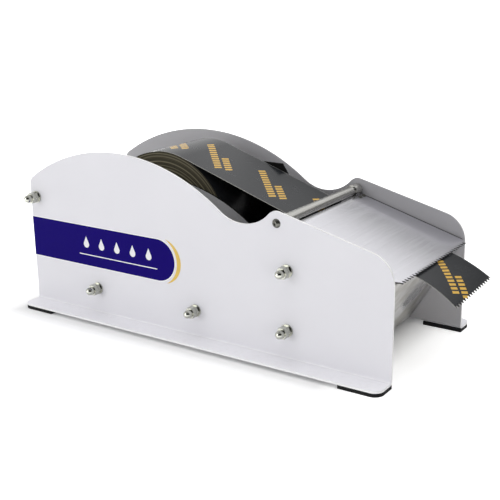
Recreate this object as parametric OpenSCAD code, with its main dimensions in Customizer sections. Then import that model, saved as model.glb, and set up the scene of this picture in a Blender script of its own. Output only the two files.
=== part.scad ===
// Water-activated tape dispenser. Two bent side plates carry a roll of gummed paper tape on
// two rollers, a guide bar, a toothed cover that hinges on the bar, and a water tank with a
// wetting roller under the tape.
// X runs forward, the way the tape comes out, and is measured from the rear edge of the side
// plates. Y runs across and Z up from the table. in_frame() moves the middle of the overall
// length to the origin. Left is the -Y side, as seen by the person who pulls the tape.

/* [Side plates] */
// Length of a side plate, rear edge to front edge
plate_len = 420; // [385:1:440]
// Clear width between the side plates
inner_w = 150; // [130:1:180]
// Thickness of the bent sheet
sheet_t = 2; // [1.5:0.1:3]
// Width of the foot flange outside the plate
flange_w = 23; // [20:1:35]
// Radius of the flange's outer corners
flange_corner_r = 9; // [6:1:19]
// Inside radius of the flange's bend
bend_r = 2; // [1:0.5:4]
// Height of the dome over the table
dome_top = 174.5; // [165:0.5:185]
// Radius of the dome's arc
dome_r = 204; // [190:1:220]
// Distance of the dome's highest point from the rear edge
dome_x = 120; // [110:1:130]
// Radius of the rear top corner
rear_corner_r = 11; // [5:1:20]
// Radius of the dip between the dome and the bar's boss
dip_r = 40; // [34:1:48]
// Radius of the boss round the guide bar's screw
boss_r = 11; // [10:0.5:15]
// Downward slope of the front top edge, in degrees
nose_slope = 14; // [8:0.5:20]
// Radius of the front top corner
nose_r = 27; // [15:1:40]

/* [Feet] */
// Thickness of a rubber foot
foot_t = 3.5; // [2:0.5:6]
// Length of a rubber foot along the flange
foot_len = 40; // [25:1:60]
// How far a foot stays outside the plate's inner face
foot_inset = 1; // [0:0.5:4]

/* [Rods and axles] */
// Diameter of the rods and axles between the plates
rod_d = 8; // [7:0.5:10]
// Diameter of the threaded rod ends
thread_d = 6; // [5:0.5:6.5]
// Rear tie rod, distance from the rear edge
rear_rod_x = 8; // [7:0.5:14]
// Rear tie rod, height
rear_rod_z = 117.5; // [90:0.5:122]
// Rear roller axle, distance from the rear edge
rear_axle_x = 87.5; // [80:0.5:95]
// Front roller axle, distance from the rear edge
front_axle_x = 212.5; // [205:0.5:220]
// Height of both roller axles
axle_z = 31; // [26:0.5:34]
// Tank rods, distance from the plates' front edge
tank_rod_setback = 104.5; // [98:0.5:115]
// Upper tank rod, height
upper_rod_z = 88.5; // [80:0.5:92]
// Lower tank rod, height
lower_rod_z = 32; // [20:0.5:60]

/* [Nuts and washers] */
// Outside diameter of a washer
washer_d = 12.5; // [11.5:0.5:15]
// Thickness of a washer
washer_t = 1.2; // [0.5:0.1:2]
// Width across the flats of the nuts
nut_af = 10; // [8.5:0.5:11]
// Height of a jam nut
jam_h = 4; // [3:0.5:6]
// Height of an acorn nut
acorn_h = 11.5; // [9.5:0.5:14]
// Height of an acorn nut's hexagon
acorn_hex_h = 4.5; // [3:0.5:6]
// Diameter of an acorn nut's dome
acorn_dome_d = 8; // [6.5:0.1:8.4]
// Length of thread inside an acorn nut
thread_in_acorn = 7; // [5:0.5:7.5]
// Chamfer of the hexagons' corners
hex_chamfer = 0.5; // [0.2:0.1:0.8]

/* [Guide bar] */
// Diameter of the guide bar
bar_d = 10; // [9:0.5:13]
// Guide bar, distance from the plates' front edge
bar_setback = 115; // [108:0.5:118]
// How far the bar presses the tape below a straight run from the roll to the lip
bar_press = 2.9; // [1:0.1:5]
// Diameter of the bar screws' thread
screw_d = 5; // [4:0.5:6]
// Depth of the tapped holes in the bar's ends
tap_depth = 12; // [10:1:20]
// Length of the screws' thread inside the bar
screw_in_bar = 9; // [6:0.5:10]
// Diameter of the screws' button heads
screw_head_d = 8.5; // [8:0.5:12]
// Height of the screws' button heads
screw_head_h = 3; // [2:0.1:4]
// Width across the flats of the heads' sockets
socket_af = 3; // [2:0.5:4]
// Depth of the heads' sockets
socket_depth = 1.6; // [1:0.1:2]

/* [Cover] */
// Thickness of the cover
cover_t = 1.2; // [0.8:0.1:2]
// Gap between the cover and each side plate
cover_side_gap = 1; // [0.5:0.1:3]
// Gap between the cover and the tape below it
cover_tape_gap = 1.4; // [1:0.1:1.8]
// Gap between the cover's rear edge and the bar
cover_bar_gap = 0.8; // [0.4:0.1:2]
// How far the teeth reach past the tank's lip
cover_overhang = 5.5; // [2:0.5:8]
// Cut-off at the cover's front corners
cover_corner = 4; // [3:0.5:10]
// Pitch of the teeth on the cover and on the tape's end
tooth_pitch = 5; // [3:0.5:8]
// Depth of the teeth
tooth_depth = 3; // [1:0.5:4]
// Width of the flat on a tooth's tip
tooth_tip = 0.6; // [0.3:0.1:1]
// Width of a hinge lug along the bar
lug_w = 12; // [11:1:25]
// Thickness of a hinge lug's strip
lug_t = 1; // [0.8:0.1:1.5]
// Distance of a hinge lug from the cover's side
lug_inset = 0.5; // [0:0.5:6]
// Length of a hinge lug's tab from the bar's axis
lug_reach = 20; // [16:1:24]
// Distance of the rivets from the bar's axis
rivet_u = 10; // [9.5:0.5:13]
// Spacing of a lug's two rivets
rivet_spacing = 7; // [5:0.5:8]
// Diameter of a rivet's shank
rivet_d = 3; // [2:0.5:4]
// Diameter of a rivet's heads
rivet_head_d = 4.6; // [4.2:0.1:6]
// Height of a rivet's domed upper head
rivet_head_h = 1.5; // [1:0.1:2]
// Height of a rivet's flat lower head
rivet_foot_h = 0.7; // [0.5:0.1:1]

/* [Water tank] */
// Thickness of the tank's sheet
tank_t = 1; // [0.8:0.1:1.5]
// Gap between the tank and each side plate
tank_side_gap = 1; // [0.5:0.1:3]
// Height of the tank's underside over the table
tank_base = 5; // [4:0.5:8]
// Rolled lip at the top of the tank's front, distance from the plates' front edge
lip_setback = 2.5; // [1.5:0.5:6]
// How far the tank's front leans out, floor to lip
tank_lean = 52.5; // [40:0.5:60]
// Rolled lip, height
lip_z = 91.5; // [88:0.5:94]
// Radius of the rolled lip
lip_r = 1; // [0.8:0.1:1.5]
// Drop of the tank's hook behind the upper rod
hook_drop = 4; // [2:0.5:8]
// Where the tank's sides start to carry the cover, from the bar's axis
rim_start = 36; // [30:1:50]

/* [Wetting roller] */
// Diameter of the wetting roller
wet_d = 50; // [40:1:56]
// Length of the wetting roller
wet_len = 110; // [90:1:125]
// Wetting roller, distance in front of the tank rods
wet_setback = 46.5; // [42:0.5:52]
// Diameter of the wetting roller's axle
wet_axle_d = 6; // [5:0.5:8]
// Gap between the wetting axle's ends and the side plates
wet_axle_gap = 0.5; // [0.3:0.1:1]
// Pitch of the water grooves
groove_pitch = 5; // [4:0.5:8]
// Width of a water groove
groove_w = 1.6; // [1:0.1:2.5]
// Depth of a water groove
groove_depth = 1; // [0.5:0.1:2]

/* [Tape] */
// Width of the tape
tape_w = 80; // [60:1:90]
// Diameter of the full roll
roll_d = 150; // [145:1:153]
// Thickness of the tape
tape_t = 0.3; // [0.2:0.05:0.5]
// Inside diameter of the core
core_id = 38; // [30:1:42]
// Wall of the core
core_wall = 3; // [2:0.5:5]
// Angle of tape that lies on the roll before it leaves it
tape_wrap = 26; // [10:1:40]
// Radius of the free end's curl
tongue_r = 130; // [110:5:200]
// Sweep of the free end's curl, in degrees
tongue_sweep = 20; // [14:1:24]

/* [Roll support] */
// Diameter of the support rollers
roller_d = 32; // [30:1:34]
// End play of the support rollers between their clips, at each end
roller_play = 0.3; // [0.2:0.1:0.6]
// Wall of the support rollers
roller_wall = 5; // [4:0.5:6]
// Length of a roller bush inside the roller
bush_len = 12; // [8:1:20]
// Thickness of a bush's flange
bush_flange_t = 0.6; // [0.4:0.1:0.8]
// How far a bush's flange stands over the roller's bore
bush_flange_rim = 1.5; // [1:0.1:2.5]
// Gap between the tape roll and each roll guide
guide_gap = 1; // [0.6:0.1:3]
// Thickness of a roll guide
guide_t = 2; // [1:0.1:3]
// Height of a roll guide over the table
guide_top = 148; // [135:1:155]
// Radius of a roll guide's domed edge
guide_r = 176; // [160:1:190]
// Roll guides' rear ends, distance from the rear edge
guide_rear = 16; // [14:1:40]
// Gap between the roll guides' front ends and the tank rods
guide_end_gap = 27.5; // [25.5:0.5:45]
// Height of a roll guide's lower edge
guide_base = 16; // [10:1:18]
// Height of the right roll guide, which is taller and has straight edges
tall_guide_top = 155; // [150:0.5:160]
// Right roll guide's upper front corner, distance from the rear edge
tall_guide_front = 237; // [225:1:245]
// Right roll guide's upper rear corner, distance from the rear edge
tall_guide_rear = 105; // [100:1:120]
// Slope of the right roll guide's two ends, in degrees
tall_guide_slope = 57; // [55:1:60]
// Outside diameter of a spacer sleeve
sleeve_d = 12; // [11:0.5:16]
// Outside diameter of an axle clip
clip_d = 14; // [11:0.5:16]
// Thickness of an axle clip
clip_t = 0.8; // [0.5:0.1:0.9]

/* [Label] */
// Height of the label's lower edge
label_z = 53.5; // [45:0.5:60]
// Height of the label's band
label_h = 42; // [30:1:50]
// Length of the label's band, with its round end
label_len = 189; // [140:1:195]
// Thickness of the label's film
label_t = 0.2; // [0.1:0.05:0.4]
// Radius of the crescent's outer arc
crescent_r = 22.8; // [20:0.1:24]
// Radius of the crescent's inner arc
crescent_cut_r = 25.4; // [24.5:0.1:28]
// Gap between the label's band and the crescent
crescent_gap = 2.8; // [1.5:0.1:4]
// Widest part of the crescent
crescent_w = 4.6; // [3:0.1:6]

/* [Fits] */
// Radial clearance of what turns
running_fit = 0.05; // [0.02:0.01:0.1]
// Radial clearance of what is pushed on and stays
push_fit = 0.05; // [0.02:0.01:0.1]
// Radial clearance of the holes that threaded ends pass through
hole_fit = 0.25; // [0.1:0.05:0.5]
// Gap between pieces that move past each other
pass_gap = 0.3; // [0.2:0.05:0.5]
// Gap between the tape and what it slides on
slide_gap = 0.1; // [0.05:0.05:0.2]

/* [Hidden] */
$fn = 96;

// Directions and points in the X-Z plane
function along(a) = [cos(a), sin(a)];
function left_of(a) = [-sin(a), cos(a)];
// The upper point that is r1 from c1 and r2 from c2
function upper_meet(c1, r1, c2, r2) =
    let (gap = norm(c2 - c1), e = (c2 - c1) / gap, a = (r1 * r1 - r2 * r2 + gap * gap) / (2 * gap))
    c1 + a * e + sqrt(r1 * r1 - a * a) * [-e[1], e[0]];
function angle_to(c1, c2) = atan2(c2[1] - c1[1], c2[0] - c1[0]);

// Across the width
half_w = inner_w / 2;
outer_y = half_w + sheet_t;
flange_y = outer_y + flange_w;

// Axes, as points in the X-Z plane
tank_rod_x = plate_len - tank_rod_setback;
bar_x = plate_len - bar_setback;
rear_rod = [rear_rod_x, rear_rod_z];
rear_axle = [rear_axle_x, axle_z];
front_axle = [front_axle_x, axle_z];
upper_rod = [tank_rod_x, upper_rod_z];
lower_rod = [tank_rod_x, lower_rod_z];
lip_x = plate_len - lip_setback;
lip = [lip_x, lip_z];
stacks = [rear_rod, rear_axle, front_axle, upper_rod, lower_rod];

// The tape roll lies on its two rollers
roll_r = roll_d / 2;
roller_r = roller_d / 2;
roll = upper_meet(rear_axle, roll_r + roller_r + pass_gap, front_axle, roll_r + roller_r + pass_gap);

// The bar presses the tape below the straight run that it would take from the roll to the lip
wrap_r = roll_r + pass_gap + tape_t / 2;
under_r = bar_d / 2 + slide_gap + tape_t / 2;
over_r = lip_r + slide_gap + tape_t / 2;
free_angle = angle_to(roll, lip) - asin((wrap_r - over_r) / norm(lip - roll));
free_end = lip + over_r * left_of(free_angle);
bar_z = free_end[1] + (bar_x - free_end[0]) * tan(free_angle) + under_r / cos(free_angle) - bar_press;
bar = [bar_x, bar_z];

// The side plate's outline: centres of its arcs and the points where they run into each other
bend_c = [outer_y + bend_r, foot_t + sheet_t + bend_r];
dome = [dome_x, dome_top - dome_r];
dip = upper_meet(dome, dome_r + dip_r, bar, boss_r + dip_r);
dome_end = dome + (dip - dome) * dome_r / (dome_r + dip_r);
boss_start = bar + (dip - bar) * boss_r / (boss_r + dip_r);
boss_end = bar + boss_r * left_of(-nose_slope);
nose_cut = nose_r * tan((90 - nose_slope) / 2);
nose_tip = [plate_len, boss_end[1] - (plate_len - boss_end[0]) * tan(nose_slope)];
nose_start = nose_tip - nose_cut * along(-nose_slope);
nose = nose_tip - [nose_r, nose_cut];
rear_corner = [rear_corner_r,
    dome[1] + sqrt(pow(dome_r - rear_corner_r, 2) - pow(dome_x - rear_corner_r, 2))];
dome_start = dome + (rear_corner - dome) * dome_r / (dome_r - rear_corner_r);

// The tape's path: round the roll, under the bar, over the lip, then the free end
web_angle = angle_to(roll, bar) - asin((wrap_r + under_r) / norm(bar - roll));
run_angle = angle_to(bar, lip) + asin((under_r + over_r) / norm(lip - bar));
run_end = lip + over_r * left_of(run_angle);
run_len = norm(lip - bar) * cos(run_angle - angle_to(bar, lip));
tongue_c = run_end - tongue_r * left_of(run_angle);
tongue_angle = run_angle - tongue_sweep;
tongue_end = tongue_c + tongue_r * left_of(tongue_angle);
overall_len = tongue_end[0];
arc_step = 2;

// The cover lies along the tape's last run; u is measured from the bar's axis, v square to it
cover_half_w = half_w - cover_side_gap;
cover_rear = bar_d / 2 + cover_bar_gap;
cover_front = run_len + cover_overhang;
cover_v = tape_t / 2 + cover_tape_gap - under_r;
lug_y = cover_half_w - lug_inset - lug_w / 2;
function on_run(u, v) = bar + u * along(run_angle) + v * left_of(run_angle);

// The water tank: its rear wall stands against the rods, its front leans out to the lip
tank_w = inner_w - 2 * tank_side_gap;
tank_rear = tank_rod_x + rod_d / 2 + push_fit;
hook_r = rod_d / 2 + push_fit;
lean = atan2(tank_lean, lip_z - tank_base);
front_t = tank_t / cos(lean);
rim_v = cover_v - pass_gap;

// The wetting roller just clears the tape's underside
wet_r = wet_d / 2;
wet_x = tank_rod_x + wet_setback;
wet = [wet_x, on_run(0, -under_r)[1] + (wet_x - on_run(0, -under_r)[0]) * tan(run_angle)
    - (wet_r + pass_gap + tape_t / 2) / cos(run_angle)];

// Along the roller axles, from the middle outwards
guide_y = tape_w / 2 + guide_gap;
guide_front = tank_rod_x - rod_d / 2 - guide_end_gap;
roller_len = 2 * (guide_y - clip_t - roller_play - bush_flange_t);
bush_d = roller_d - 2 * roller_wall;
bush_flange_d = bush_d + 2 * bush_flange_rim;
core_od = core_id + 2 * core_wall;

// The label's band ends in a half circle, and the crescent follows it
label_r = label_h / 2;
label_end = [label_len - label_r, label_z + label_r];
crescent_tip = label_len + crescent_gap + crescent_w;
crescent_c = [crescent_tip - crescent_r, label_end[1]];
crescent_cut = [crescent_tip - crescent_w - crescent_cut_r, label_end[1]];

// Moves a piece from the rear edge of the plates into the part's own frame
module in_frame() {
    translate([-overall_len / 2, 0, 0]) children();
}

// Stands a flat shape, drawn in X and Z, upright from y0 to y1
module upright(y0, y1) {
    translate([0, y1, 0]) rotate([90, 0, 0]) linear_extrude(y1 - y0) children();
}

// A round piece along Y, through a point of the X-Z plane
module across(at, d, len) {
    translate([at[0], 0, at[1]]) rotate([90, 0, 0]) cylinder(d = d, h = len, center = true);
}

// Puts a piece that is drawn along +Z on both ends of an axis along Y, pointing outwards
module both_ends(at, y) {
    for (side = [-1, 1])
        translate([at[0], side * y, at[1]]) rotate([-90 * side, 0, 0]) children();
}

// Mirrors a +Y piece to the side that is asked for
module on_side(side) {
    if (side > 0) children();
    else mirror([0, 1, 0]) children();
}

// A ring along +Z
module ring(od, id, h) {
    difference() {
        cylinder(d = od, h = h);
        translate([0, 0, -h]) cylinder(d = id, h = 3 * h);
    }
}

// A hexagon along +Z with its corners turned off at both ends
module hexagon(af, h) {
    corner_r = af / 2 / cos(30);
    intersection() {
        cylinder(r = corner_r, h = h, $fn = 6);
        rotate_extrude() polygon([
            [0, 0], [corner_r - hex_chamfer, 0], [corner_r, hex_chamfer],
            [corner_r, h - hex_chamfer], [corner_r - hex_chamfer, h], [0, h]
        ]);
    }
}

// Outline of the side plate above its bend, in X and Z
module plate_outline() {
    low = bend_c[1];
    translate([0, low]) square([dome_start[0], rear_corner[1] - low]);
    translate(rear_corner) circle(rear_corner_r);
    intersection() {
        translate(dome) circle(dome_r, $fn = 360);
        translate([dome_start[0], low]) square([dome_end[0] - dome_start[0], dome_top]);
    }
    difference() {
        polygon([[dome_end[0], low], [boss_start[0], low], boss_start, dome_end]);
        translate(dip) circle(dip_r, $fn = 180);
    }
    polygon([
        [boss_start[0], low], [plate_len, low], [plate_len, nose[1]], nose_start, boss_end, boss_start
    ]);
    translate(bar) circle(boss_r);
    translate(nose) circle(nose_r);
}

// Plan of the foot flange on the +Y side, from a given Y outwards
module flange_plan(from_y) {
    straight_y = flange_y - flange_corner_r;
    translate([0, from_y]) square([plate_len, straight_y - from_y]);
    translate([flange_corner_r, from_y])
        square([plate_len - 2 * flange_corner_r, flange_y - from_y]);
    for (x = [flange_corner_r, plate_len - flange_corner_r])
        translate([x, straight_y]) circle(flange_corner_r);
}

// Section of the flange and its bend on the +Y side, in Y and Z
module flange_section() {
    translate([bend_c[0], foot_t]) square([flange_y - bend_c[0], sheet_t]);
    difference() {
        intersection() {
            translate(bend_c) circle(bend_r + sheet_t);
            translate([half_w, foot_t]) square(bend_r + sheet_t);
        }
        translate(bend_c) circle(bend_r);
    }
}

module side_plate(side) {
    color("whitesmoke") in_frame() on_side(side) difference() {
        union() {
            upright(half_w, outer_y) plate_outline();
            intersection() {
                rotate([90, 0, 90]) linear_extrude(plate_len) flange_section();
                translate([0, 0, foot_t]) linear_extrude(sheet_t + bend_r) flange_plan(half_w);
            }
        }
        for (at = stacks) across(at, thread_d + 2 * hole_fit, 2 * flange_y);
        across(bar, screw_d + 2 * hole_fit, 2 * flange_y);
    }
}

module left_side_plate() { side_plate(-1); }
module right_side_plate() { side_plate(1); }

// A foot has the flange's outline over a short length
module foot(side, from_x) {
    from_y = half_w + foot_inset;
    color("#202020") in_frame() on_side(side) linear_extrude(foot_t) intersection() {
        flange_plan(from_y);
        translate([from_x, from_y]) square([foot_len, flange_y - from_y]);
    }
}

module front_left_foot() { foot(-1, plate_len - foot_len); }
module rear_left_foot() { foot(-1, 0); }
module front_right_foot() { foot(1, plate_len - foot_len); }
module rear_right_foot() { foot(1, 0); }

// A rod with a shoulder against each plate and a thinner threaded end through it
module rod(at) {
    end_len = sheet_t + washer_t + jam_h + thread_in_acorn;
    color("silver") in_frame() {
        across(at, rod_d, inner_w);
        across(at, thread_d, inner_w + 2 * end_len);
    }
}

module rear_tie_rod() { rod(rear_rod); }
module rear_roller_axle() { rod(rear_axle); }
module front_roller_axle() { rod(front_axle); }
module upper_tank_rod() { rod(upper_rod); }
module lower_tank_rod() { rod(lower_rod); }

module washers() {
    color("gainsboro") in_frame() for (at = stacks)
        both_ends(at, outer_y) ring(washer_d, thread_d + 2 * hole_fit, washer_t);
}

module jam_nuts() {
    color("gainsboro") in_frame() for (at = stacks)
        both_ends(at, outer_y + washer_t) difference() {
            hexagon(nut_af, jam_h);
            cylinder(d = thread_d + 2 * push_fit, h = 3 * jam_h, center = true);
        }
}

module acorn_nuts() {
    dome_r_nut = acorn_dome_d / 2;
    color("gainsboro") in_frame() for (at = stacks)
        both_ends(at, outer_y + washer_t + jam_h) difference() {
            union() {
                hexagon(nut_af, acorn_hex_h);
                cylinder(r = dome_r_nut, h = acorn_h - dome_r_nut);
                translate([0, 0, acorn_h - dome_r_nut]) sphere(r = dome_r_nut);
            }
            translate([0, 0, -push_fit])
                cylinder(d = thread_d + 2 * push_fit, h = thread_in_acorn + 2 * push_fit);
        }
}

module guide_bar() {
    color("silver") in_frame() difference() {
        across(bar, bar_d, inner_w);
        both_ends(bar, half_w - tap_depth) cylinder(d = screw_d + 2 * push_fit, h = 2 * tap_depth);
    }
}

module bar_screws() {
    head_r = screw_head_d / 2;
    ball_r = (head_r * head_r + screw_head_h * screw_head_h) / (2 * screw_head_h);
    color("silver") in_frame() both_ends(bar, outer_y) difference() {
        union() {
            translate([0, 0, -sheet_t - screw_in_bar])
                cylinder(d = screw_d, h = sheet_t + screw_in_bar + screw_head_h / 2);
            intersection() {
                cylinder(r = head_r, h = screw_head_h);
                translate([0, 0, screw_head_h - ball_r]) sphere(r = ball_r);
            }
        }
        translate([0, 0, screw_head_h - socket_depth])
            cylinder(d = socket_af / cos(30), h = screw_head_h, $fn = 6);
    }
}

// Puts a piece that is drawn along the tape's last run, from the bar's axis, in its place
module on_cover() {
    in_frame() translate([bar_x, 0, bar_z]) rotate([0, -run_angle, 0]) children();
}

module cover_plate() {
    teeth = floor(2 * (cover_half_w - cover_corner) / tooth_pitch);
    teeth_y = -teeth * tooth_pitch / 2;
    root = cover_front - tooth_depth;
    half_tip = tooth_tip / 2;
    color("lightgray") on_cover() difference() {
        translate([0, 0, cover_v]) linear_extrude(cover_t) polygon(concat(
            [[cover_rear, -cover_half_w], [root - cover_corner, -cover_half_w],
                [root, -cover_half_w + cover_corner]],
            [for (i = [0 : teeth - 1]) let (y = teeth_y + i * tooth_pitch) each [
                [root, y + half_tip],
                [cover_front, y + tooth_pitch / 2 - half_tip],
                [cover_front, y + tooth_pitch / 2 + half_tip],
                [root, y + tooth_pitch - half_tip]
            ]],
            [[root, cover_half_w - cover_corner], [root - cover_corner, cover_half_w],
                [cover_rear, cover_half_w]]
        ));
        each_rivet() cylinder(d = rivet_d + 2 * push_fit, h = bar_d, center = true);
    }
}

// The places of the rivets, on the cover's underside, for one side or both
module each_rivet(sides = [-1, 1]) {
    for (side = sides, half = [-0.5, 0.5])
        translate([rivet_u, side * lug_y + half * rivet_spacing, cover_v]) children();
}

// A strip that is rolled round the bar and lies flat under the cover
module hinge_lug(side) {
    bore_d = bar_d + 2 * running_fit;
    color("lightgray") on_cover() difference() {
        translate([0, side * lug_y, 0]) {
            rotate([90, 0, 0]) cylinder(d = bore_d + 2 * lug_t, h = lug_w, center = true);
            translate([0, -lug_w / 2, cover_v - lug_t]) cube([lug_reach, lug_w, lug_t]);
        }
        rotate([90, 0, 0]) cylinder(d = bore_d, h = inner_w, center = true);
        each_rivet([side]) cylinder(d = rivet_d + 2 * push_fit, h = bar_d, center = true);
    }
}

module left_hinge_lug() { hinge_lug(-1); }
module right_hinge_lug() { hinge_lug(1); }

module lug_rivets() {
    head_r = rivet_head_d / 2;
    ball_r = (head_r * head_r + rivet_head_h * rivet_head_h) / (2 * rivet_head_h);
    color("silver") on_cover() each_rivet() {
        translate([0, 0, -lug_t - rivet_foot_h]) cylinder(d = rivet_head_d, h = rivet_foot_h);
        translate([0, 0, -lug_t - rivet_foot_h / 2])
            cylinder(d = rivet_d, h = lug_t + cover_t + (rivet_foot_h + rivet_head_h) / 2);
        translate([0, 0, cover_t]) intersection() {
            cylinder(r = head_r, h = rivet_head_h);
            translate([0, 0, rivet_head_h - ball_r]) sphere(r = ball_r);
        }
    }
}

module water_tank() {
    floor_z = tank_base + tank_t;
    front_top = lip + [front_t / 2, 0];
    front_foot = front_top - [tank_lean, lip_z - tank_base];
    inner_foot = front_foot + [tank_t * tan(lean) - front_t, tank_t];
    slot_w = wet_axle_d + 2 * running_fit;
    color("darkgray") in_frame() difference() {
        union() {
            upright(-tank_w / 2, tank_w / 2) {
                polygon([
                    [tank_rear, tank_base], front_foot, front_top, front_top - [front_t, 0], inner_foot,
                    [tank_rear + tank_t, floor_z], [tank_rear + tank_t, upper_rod_z],
                    [tank_rear, upper_rod_z]
                ]);
                translate(lip) circle(lip_r);
                difference() {
                    intersection() {
                        translate(upper_rod) circle(hook_r + tank_t);
                        translate(upper_rod - [hook_r + tank_t, 0])
                            square([2 * (hook_r + tank_t), hook_r + tank_t]);
                    }
                    translate(upper_rod) circle(hook_r);
                }
                translate(upper_rod - [hook_r + tank_t, hook_drop]) square([tank_t, hook_drop]);
            }
            for (y = [-tank_w / 2, tank_w / 2 - tank_t]) upright(y, y + tank_t) polygon([
                [tank_rear, tank_base], front_foot, front_top, on_run(run_len, rim_v),
                on_run(rim_start, rim_v), [tank_rear, upper_rod_z]
            ]);
        }
        across(wet, slot_w, inner_w);
        translate([wet_x - slot_w / 2, -half_w, wet[1]]) cube([slot_w, inner_w, bar_z]);
    }
}

module wetting_roller() {
    grooves = floor(wet_len / groove_pitch) - 1;
    first = -(grooves - 1) * groove_pitch / 2;
    bore_r = wet_axle_d / 2 + push_fit;
    color("ivory") in_frame() translate([wet_x, 0, wet[1]]) rotate([90, 0, 0])
        rotate_extrude() polygon(concat(
            [[bore_r, -wet_len / 2], [wet_r, -wet_len / 2]],
            [for (i = [0 : grooves - 1]) let (z = first + i * groove_pitch) each [
                [wet_r, z - groove_w / 2], [wet_r - groove_depth, z - groove_w / 4],
                [wet_r - groove_depth, z + groove_w / 4], [wet_r, z + groove_w / 2]
            ]],
            [[wet_r, wet_len / 2], [bore_r, wet_len / 2]]
        ));
}

module wetting_axle() {
    color("silver") in_frame() across(wet, wet_axle_d, inner_w - 2 * wet_axle_gap);
}

module support_roller(at) {
    color("dimgray") in_frame() difference() {
        across(at, roller_d, roller_len);
        across(at, bush_d, 2 * roller_len);
    }
}

module rear_support_roller() { support_roller(rear_axle); }
module front_support_roller() { support_roller(front_axle); }

// A flanged bush in each end of a roller, which turns on the axle
module roller_bushes(at) {
    color("white") in_frame() both_ends(at, roller_len / 2) difference() {
        union() {
            translate([0, 0, -bush_len]) cylinder(d = bush_d - 2 * push_fit, h = bush_len);
            cylinder(d = bush_flange_d, h = bush_flange_t);
        }
        cylinder(d = rod_d + 2 * running_fit, h = 3 * bush_len, center = true);
    }
}

module rear_roller_bushes() { roller_bushes(rear_axle); }
module front_roller_bushes() { roller_bushes(front_axle); }

// A plate beside the roll, drawn in X and Z, on both roller axles
module roll_guide(side) {
    color("gray") in_frame() on_side(side) upright(guide_y, guide_y + guide_t) difference() {
        intersection() {
            children();
            translate([guide_rear, guide_base]) square([guide_front - guide_rear, tall_guide_top]);
        }
        for (at = [rear_axle, front_axle]) translate(at) circle(d = rod_d + 2 * hole_fit);
    }
}

// The left guide has a low domed edge
module left_roll_guide() {
    roll_guide(-1) translate([roll[0], guide_top - guide_r]) circle(guide_r, $fn = 360);
}

// The right guide stands up beside the tape where it leaves the roll
module right_roll_guide() {
    run = tall_guide_top / tan(tall_guide_slope);
    roll_guide(1) polygon([
        [tall_guide_rear - run, 0], [tall_guide_rear, tall_guide_top],
        [tall_guide_front, tall_guide_top], [tall_guide_front + run, 0]]);
}

module spacer_sleeves() {
    color("silver") in_frame() for (at = [rear_axle, front_axle])
        both_ends(at, guide_y + guide_t)
            ring(sleeve_d, rod_d + 2 * push_fit, half_w - guide_y - guide_t);
}

module axle_clips() {
    color("silver") in_frame() for (at = [rear_axle, front_axle])
        both_ends(at, guide_y - clip_t) ring(clip_d, rod_d + 2 * push_fit, clip_t);
}

module tape_roll() {
    color("#5a5648") in_frame() difference() {
        across(roll, roll_d, tape_w);
        across(roll, core_od + 2 * push_fit, 2 * tape_w);
    }
}

module tape_core() {
    color("tan") in_frame() difference() {
        across(roll, core_od, tape_w);
        across(roll, core_id, 2 * tape_w);
    }
}

// The tape from the roll to its free end, which the cover's teeth have cut
module tape_strip() {
    function stop(from, to, i, steps) = from + (to - from) * i / steps;
    wrap_steps = ceil(tape_wrap / arc_step);
    tongue_steps = ceil(tongue_sweep / arc_step);
    stations = concat(
        [for (i = [0 : wrap_steps]) let (a = stop(web_angle + tape_wrap, web_angle, i, wrap_steps))
            [roll + wrap_r * left_of(a), a]],
        [for (a = [web_angle, run_angle]) [bar - under_r * left_of(a), a]],
        [for (i = [0 : tongue_steps]) let (a = stop(run_angle, tongue_angle, i, tongue_steps))
            [tongue_c + tongue_r * left_of(a), a]]
    );
    function side_of(k) = [for (s = stations) s[0] + k * tape_t / 2 * left_of(s[1])];
    upper = side_of(1);
    lower = side_of(-1);
    teeth = floor(tape_w / tooth_pitch);
    notch = tooth_pitch / 2 - tooth_tip / 2;
    color("#4a4d52") in_frame() difference() {
        upright(-tape_w / 2, tape_w / 2)
            polygon(concat(upper, [for (i = [len(lower) - 1 : -1 : 0]) lower[i]]));
        translate([tongue_end[0], 0, tongue_end[1]]) rotate([0, -tongue_angle, 0])
            for (i = [0 : teeth - 1]) translate([0, (i - (teeth - 1) / 2) * tooth_pitch, 0])
                linear_extrude(tooth_depth, center = true)
                    polygon([[tape_t, -notch], [tape_t, notch], [0, notch],
                        [-tooth_depth, tooth_tip / 2], [-tooth_depth, -tooth_tip / 2], [0, -notch]]);
    }
}

module side_label() {
    color("#24126e") in_frame() upright(-outer_y - label_t, -outer_y) {
        translate([0, label_z]) square([label_end[0], label_h]);
        translate(label_end) circle(label_r);
    }
}

module label_crescent() {
    color("#d4af50") in_frame() upright(-outer_y - label_t, -outer_y) difference() {
        translate(crescent_c) circle(crescent_r);
        translate(crescent_cut) circle(crescent_cut_r);
    }
}

left_side_plate();
right_side_plate();
front_left_foot();
rear_left_foot();
front_right_foot();
rear_right_foot();
rear_tie_rod();
rear_roller_axle();
front_roller_axle();
upper_tank_rod();
lower_tank_rod();
washers();
jam_nuts();
acorn_nuts();
guide_bar();
bar_screws();
cover_plate();
left_hinge_lug();
right_hinge_lug();
lug_rivets();
water_tank();
wetting_roller();
wetting_axle();
rear_support_roller();
front_support_roller();
rear_roller_bushes();
front_roller_bushes();
left_roll_guide();
right_roll_guide();
spacer_sleeves();
axle_clips();
tape_roll();
tape_core();
tape_strip();
side_label();
label_crescent();
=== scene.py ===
import math

import bmesh
import bpy
from mathutils import Matrix, Vector


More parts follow.
